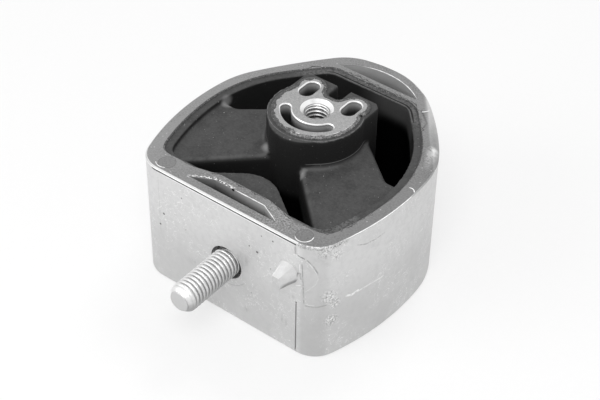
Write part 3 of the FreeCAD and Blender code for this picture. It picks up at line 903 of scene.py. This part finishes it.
stud_low, stud_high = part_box("stud")
stud_middle_z = (stud_low.z + stud_high.z) / 2.0
tip_radius = 3.25 * mm
tip_taper = 2.6 * mm
tip_round = 0.35 * mm
thread_radius = 4.93 * mm
root_radius = 4.12 * mm
neck_radius = 4.2 * mm
neck_length = 2.2 * mm
shank_radius = (stud_high.z - stud_low.z) / 2.0
shank_length = 5.5 * mm
thread_end = stud_high.y - shank_length - neck_length


def stud_envelope(along):
    """The radius that the stud's taper allows at a distance from its tip."""
    share = min(1.0, along / tip_taper)
    return tip_radius + (thread_radius - tip_radius) * math.sin(share * turn / 4.0)


def stud_ring(y, radii):
    """A ring of points about the stud's axis, with a radius for each angle."""
    return [(r * math.cos(a), y, stud_middle_z + r * math.sin(a)) for r, a in zip(radii, angles)]


def make_stud():
    length = thread_end - stud_low.y
    count = int(length / pitch * steps_per_pitch)
    rings = []
    for inset, back in ((0.9, 0.0), (0.25, 0.02), (0.0, 0.3)):
        radius = stud_envelope(0.0) + tip_round - inset * mm
        rings.append(stud_ring(stud_low.y + back * mm, [radius] * steps_round))
    for i in range(2, count + 1):
        along = length * i / count
        fade = min(1.0, max(0.0, (along - 1.4 * mm) / (2.2 * mm)))
        deepest = (thread_radius - root_radius) * fade
        cuts = [deepest * (1.0 - ridge(along / pitch - a / turn)) for a in angles]
        rings.append(stud_ring(stud_low.y + along, [stud_envelope(along) - cut for cut in cuts]))
    neck_end = thread_end + neck_length
    for radius, start, stop in ((neck_radius, thread_end, neck_end), (shank_radius, neck_end, stud_high.y)):
        rings += [stud_ring(y, [radius] * steps_round) for y in (start, stop)]
    stud = ring_surface("stud_threaded", rings, steel_finish, capped=True)
    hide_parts("stud")
    return stud


stud = make_stud()
print("stud faces:", len(stud.data.polygons))

# %% [markdown]
# The bore's thread is made the same way, turned inside out. Its ridges stand inward from the bore's
# wall, start below the countersink and fade out deep inside, where no light reaches them.

# %% Thread in the core
bore_radius = 4.23 * mm
bore_crest = 3.72 * mm
bore_top = 7.9 * mm
bore_depth = 20.0 * mm


def make_bore_thread():
    count = int(bore_depth / pitch * steps_per_pitch)
    rings = []
    for i in range(count + 1):
        down = bore_depth * i / count
        fade = min(1.0, down / (0.25 * pitch), (bore_depth - down) / pitch)
        ring = []
        for a in angles:
            radius = bore_radius - (bore_radius - bore_crest) * fade * ridge(down / pitch + a / turn)
            ring.append((radius * math.cos(a), radius * math.sin(a), bore_top - down))
        rings.append(ring)
    return ring_surface("core_thread_turns", rings, thread_finish)


def cut_thread():
    cut = Finish("cut_thread")
    grain = cut.noise(3.0, 2.0, 0.6)
    crest = cut.radius_about(cut.x, cut.y).step(4.1, 3.8)
    lit = cut.z.step(0.5, 6.5)
    # Painted shade: the thread's roots are dark, and the thread goes black with depth.
    cut.colour = cut.blend(crest, 0.25, cut.blend(grain, 0.85, 0.97))
    cut.colour = cut.blend(lit, 0.01, cut.colour)
    cut.wear(0.28 + 0.1 * grain, cut.bump(grain, 0.02), 0.85)
    return cut.material


thread_finish = cut_thread()
bore_thread = make_bore_thread()
print("bore thread faces:", len(bore_thread.data.polygons))

# %% [markdown]
# Thin raised lines stand for what casting and handling leave: the double bead under the front edge,
# crescents where ejector pins pressed, and edges that rubbed bright. Their bright finish is also a
# painted highlight along these edges. Each is a small half-round rib along a path, with tapered ends,
# and its back is sunk into the metal.

# %% Ribs along a path
rib_angles = (-0.35, 0.35, 0.95, turn / 4.0, turn / 2.0 - 0.95, turn / 2.0 - 0.35, turn / 2.0 + 0.35)
rib_profile = [(math.cos(a), math.sin(a)) for a in rib_angles]


def rib(name, path, out, width, height, finish, uneven=0.0):
    """A half-round rib on a surface that faces out, along the path's points, thinned here and there."""
    count = len(path)
    rows = []
    for i, point in enumerate(path):
        ahead = path[min(count - 1, i + 1)] - path[max(0, i - 1)]
        side = ahead.normalized().cross(out)
        ends = min(i, count - 1 - i) / max(1.0, 0.12 * count)
        share = math.sqrt(min(1.0, ends + 0.02))
        share = share * (1.0 - uneven * (0.5 + noise.noise(point / (1.7 * mm))))
        half = width / 2.0 * share
        rows.append([point + side * (half * c) + out * (height * s * share) for c, s in rib_profile])
    return ring_surface(name, rows, finish, capped=True)


# A bright finish for worn edges that also paints highlights along them.
def bright_edge_and_highlight():
    worn = Finish("worn_edge_and_highlight")
    grain = worn.noise(2.0, 3.0, 0.6)
    worn.colour = worn.blend(grain, 0.78, 0.92)
    worn.wear(0.3 + 0.1 * grain, worn.bump(grain, 0.02), 0.7)
    return worn.material


worn_and_highlight_finish = bright_edge_and_highlight()
upwards = Vector((0.0, 0.0, 1.0))
forwards = Vector((0.0, -1.0, 0.0))


def straight(start, stop, count):
    start = Vector(start) * mm
    stop = Vector(stop) * mm
    return [start.lerp(stop, k / (count - 1)) for k in range(count)]


def arc_on_rim(x, y, radius, first, last, count=24):
    """Points of an arc on the rim, with its angles in degrees."""
    sweep = [math.radians(first + (last - first) * k / (count - 1)) for k in range(count)]
    return [Vector(((x + radius * math.cos(a)) * mm, (y + radius * math.sin(a)) * mm, 0.0)) for a in sweep]


print("points across a rib:", len(rib_profile))

# %% [markdown]
# Beads, worn lines and films all follow edges of the casting, the rubber or the core. Their places are
# read from the CAD nodes and not typed in, so they fit when a size of the part changes. An edge is
# known by its height and by how far its two faces look up, and the edges are then chained into loops.

# %% Edge loops
def edge_loops(node, height, lower, upper):
    """Loops of edges at a height, whose two faces look up by amounts in two ranges. Longest first."""
    shape = welded_shape(node)
    beside = {}
    for edge in shape.edges:
        level = all(abs(v.co.z - height) < 1e-5 for v in edge.verts)
        slopes = sorted(face.normal.z for face in edge.link_faces)
        if level and len(slopes) == 2 and lower[0] < slopes[0] < lower[1] and upper[0] < slopes[1] < upper[1]:
            a, b = (v.index for v in edge.verts)
            beside.setdefault(a, []).append(b)
            beside.setdefault(b, []).append(a)
    places = [v.co.copy() for v in shape.verts]
    shape.free()
    loops = []
    while beside:
        loop = [min(beside)]
        while beside.get(loop[-1]):
            following = beside.pop(loop[-1])
            fresh = [index for index in following if index in beside]
            if not fresh:
                break
            loop.append(fresh[0])
        beside.pop(loop[-1], None)
        loops.append([places[index] for index in loop])
    return sorted(loops, key=loop_length, reverse=True)


def loop_length(loop):
    return sum((b - a).length for a, b in zip(loop, loop[1:] + loop[:1]))


def even_loop(loop, spacing):
    """Points an even distance apart along a closed loop."""
    total = loop_length(loop)
    count = int(total / spacing)
    gap = total / count
    points = []
    walked = 0.0
    for a, b in zip(loop, loop[1:] + loop[:1]):
        length = (b - a).length
        while len(points) < count and len(points) * gap <= walked + length:
            points.append(a.lerp(b, (len(points) * gap - walked) / max(length, 1e-9)))
        walked += length
    return points


def outward_directions(points):
    """For each point of a loop, the level direction away from the loop's inside."""
    area = sum(a.x * b.y - b.x * a.y for a, b in zip(points, points[1:] + points[:1]))
    sense = 1.0 if area > 0.0 else -1.0
    count = len(points)
    found = []
    for i in range(count):
        along = points[(i + 2) % count] - points[i - 2]
        found.append(Vector((along.y, -along.x, 0.0)).normalized() * sense)
    return found


def stretch(loop, spacing, out, up, keep):
    """The part of a loop that passes a test on x and y in millimetres, moved outward and up."""
    points = even_loop(loop, spacing)
    moved = [p + d * (out * mm) + upwards * (up * mm) for p, d in zip(points, outward_directions(points))]
    kept = [keep(p.x / mm, p.y / mm) for p in points]
    first = kept.index(False)
    turned = moved[first:] + moved[:first]
    kept = kept[first:] + kept[:first]
    return [p for p, wanted in zip(turned, kept) if wanted]


steep_face = (-0.1, 0.1)
level_face = (0.995, 1.1)
rounded_face = (0.2, 0.994)
bevelled_face = (0.5, 0.9)
liner_top = -0.5 * mm
rim_holes = edge_loops(nodes["housing"], 0.0, steep_face, level_face)
rim_outside = edge_loops(nodes["housing"], 0.0, rounded_face, level_face)
liner_loops = edge_loops(nodes["rubber_spring"], liner_top, steep_face, level_face)
core_loops = edge_loops(nodes["core"], core_bevel_z, steep_face, bevelled_face)
found = {"rim holes": rim_holes, "outside": rim_outside, "liner": liner_loops, "core": core_loops}
for name, loops in found.items():
    print(name, [round(loop_length(loop) / mm) for loop in loops])

# %% [markdown]
# The front edge of the casting carries a bright bead with a dark seam, painted as shadow, and a fine
# line under it, where the two halves of the die met; the bead's and the fine line's brightness is a
# painted highlight. The right edge has a bright line of painted highlight on its round. The pockets'
# far edges shine too, with painted highlights, since they face the camera's light. Each line gets a
# test on x and y that says where it starts and stops.

# %% Lines along the front edge and the pockets
front_pocket = next(loop for loop in rim_holes[1:] if loop[0].y < 0.0)
back_pocket = next(loop for loop in rim_holes[1:] if loop[0].y > 0.0)


def on_front_edge(x, y):
    return y < -42.5 and x < 27.3


def on_right_edge(x, y):
    return x > 33.0 and -36.5 < y < -7.0


def on_front_pocket(x, y):
    return x > -1.9 and y > -42.5


def on_back_pocket(x, y):
    return x > -9.0 and y > 34.3


def cast_rib(name, path, out, width, height, uneven):
    return rib(name, path, out, width * mm, height * mm, worn_and_highlight_finish, uneven)


bead_path = stretch(rim_outside[0], 0.8 * mm, 0.64, -0.5, on_front_edge)
fine_path = straight((-26.0, front_y, -1.5), (27.3, front_y, -1.5), 90)
side_path = stretch(rim_outside[0], 0.8 * mm, 0.3, -0.12, on_right_edge)
front_pocket_path = stretch(front_pocket, 0.4 * mm, 0.05, 0.0, on_front_pocket)
back_pocket_path = stretch(back_pocket, 0.4 * mm, 0.05, 0.0, on_back_pocket)
edge_lines = [
    cast_rib("front_bead", bead_path, forwards, 0.52, 0.2, 0.2),
    cast_rib("front_fine_line", fine_path, forwards, 0.34, 0.1, 0.4),
    cast_rib("side_edge_line", side_path, upwards, 0.42, 0.12, 0.7),
    cast_rib("front_pocket_line", front_pocket_path, upwards, 0.5, 0.2, 0.5),
    cast_rib("back_pocket_line", back_pocket_path, upwards, 0.5, 0.16, 0.6),
]
print("edge lines:", [line.name for line in edge_lines])

# %% [markdown]
# Ejector pins push a casting out of its die and leave shallow discs on the rim, each with a bright
# crescent at one side. The discs' tones are in the casting's colour, and the crescents are arcs of rib.

# %% Marks on the rim
def pin_mark(name, x, y, radius, first, last, width):
    """The crescent that an ejector pin pressed into the rim, with its angles in degrees."""
    return cast_rib(name, arc_on_rim(x, y, radius, first, last), upwards, width, 0.12, 0.5)


rim_marks = [
    pin_mark("pin_mark_left", -27.6, -41.4, 3.4, 222.0, 305.0, 0.4),
    pin_mark("pin_mark_right", 27.6, -42.1, 2.85, 218.0, 388.0, 0.42),
    pin_mark("pin_mark_side", 40.2, -6.2, 1.8, 20.0, 120.0, 0.5),
    pin_mark("pin_mark_rear", 18.9, 32.6, 3.6, -58.0, -15.0, 0.4),
]
print("rim marks:", len(rim_marks))

# %% [markdown]
# Moulding squeezes rubber out where the two halves of a mould meet the metal. It sets as a thin ragged
# film that laps over the metal's edge. The film follows the edge loops of the CAD nodes, so it fits
# whatever their size, and a noise that is the same in every run says how far it laps at each place.

# %% Ragged films of rubber
film_spacing = 0.3 * mm


def ragged_film(name, loop, sections, finish):
    """A closed strip along a loop. sections gives its corners from the noise at each point."""
    points = even_loop(loop, film_spacing)
    rings = []
    for point, out in zip(points, outward_directions(points)):
        coarse = 0.5 + noise.noise(point / (2.6 * mm))
        fine = 0.5 + noise.noise(point / (0.7 * mm))
        corners = sections(point, coarse, fine)
        rings.append([point + out * (reach * mm) + upwards * (rise * mm) for reach, rise in corners])
    rings.append(rings[0])
    return ring_surface(name, rings, finish)


def core_film_section(point, coarse, fine):
    lap = 0.42 + 1.5 * max(0.0, coarse - 0.5) + 0.6 * max(0.0, fine - 0.5)
    if point.x > 2.0 * mm and point.y < 4.0 * mm:
        lap = 0.35 * lap
    crown = 0.38 + 0.1 * fine
    return [(0.9, -0.4), (0.55, 0.1 + 0.2 * fine), (-lap * 0.6, crown), (-lap, 0.34), (-0.1, -0.3)]


def rim_film_section(point, coarse, fine):
    in_front_bar = point.y < -30.0 * mm and -17.0 * mm < point.x < 24.0 * mm
    in_front_corner = point.y < -20.0 * mm and point.x > 15.0 * mm
    torn = point.y > 20.0 * mm or in_front_bar or in_front_corner
    spread = 1.0 if torn else 0.35
    lap = max(0.05, spread * (0.2 + 1.3 * (coarse - 0.5) + 0.9 * (fine - 0.5)))
    return [(-0.5, -0.7), (-0.35, -0.42), (lap * 0.5, 0.07), (lap, -0.02), (0.1, -0.6)]


film_nick_shade = (13.0, 5.9, 8.8)
film_scuff = [
    (2.0, -14.2, 8.6), (7.0, -12.4, 8.6), (11.0, -9.0, 8.6),
    (13.6, -4.2, 8.6), (14.2, 1.0, 8.6), (13.2, 5.9, 8.6),
]


def torn_rubber():
    """The film's own finish: rubber with many pale specks, where it tore at the mould's edge."""
    film = Finish("torn_rubber")
    grain = film.noise(1.6, 4.0, 0.8)
    film.colour = film.blend(grain.step(0.35, 0.65), 0.025, 0.1)
    scuffed = film.stroke(film_scuff, 0.8, 2.2)
    scuff_tone = film.blend(grain.step(0.4, 0.6), 0.05, 0.36)
    film.paint(0.75 * scuffed, scuff_tone)
    film.paint(0.8 * film.specks(1.1, 0.2), 0.5)
    # A nick in the film, painted black as the shade inside it.
    film.paint(film.spot(film_nick_shade, 0.5, 0.3), 0.001)
    film.wear(0.6, film.bump(grain, 0.12))
    return film.material


film_finish = torn_rubber()
films = [
    ragged_film("core_film", core_loops[0], core_film_section, film_finish),
    ragged_film("rim_film", rim_holes[0], rim_film_section, film_finish),
]
print("films:", [(film.name, len(film.data.polygons)) for film in films])

# %% [markdown]
# At the back the liner ends in a thin lip, painted pale as a highlight, with a strip painted nearly black
# inside it as the shadow in the crease. Both follow the liner's inner edge. Its top is bounded by one long
# loop, so a test on place picks the stretch at the back.

# %% Lip along the back of the rubber
def plain_finish(name, level, roughness):
    plain = Finish(name)
    grain = plain.noise(1.5, 3.0, 0.7)
    plain.colour = plain.blend(grain, level * 0.7, level * 1.3)
    plain.wear(roughness, plain.bump(grain, 0.03))
    return plain.material


def inner_edge_at_back(x, y):
    return x > -17.0 and 22.5 < y < 30.0 and math.hypot(x, y) < 33.0


lip_highlight_finish = plain_finish("rubber_lip_highlight", 0.13, 0.45)
shadow_finish = plain_finish("rubber_crease_shadow", 0.004, 0.9)
back_lip = [
    rib("back_lip", stretch(liner_loops[0], 0.5 * mm, -0.35, -0.02, inner_edge_at_back),
        upwards, 0.34 * mm, 0.2 * mm, lip_highlight_finish, 0.5),
    rib("back_crease_shadow", stretch(liner_loops[0], 0.5 * mm, -0.95, -0.01, inner_edge_at_back),
        upwards, 0.75 * mm, 0.04 * mm, shadow_finish, 0.3),
]
print("back lip:", [len(piece.data.polygons) for piece in back_lip])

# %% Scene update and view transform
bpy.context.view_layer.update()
scene = bpy.context.scene
scene.view_settings.view_transform = "Standard"
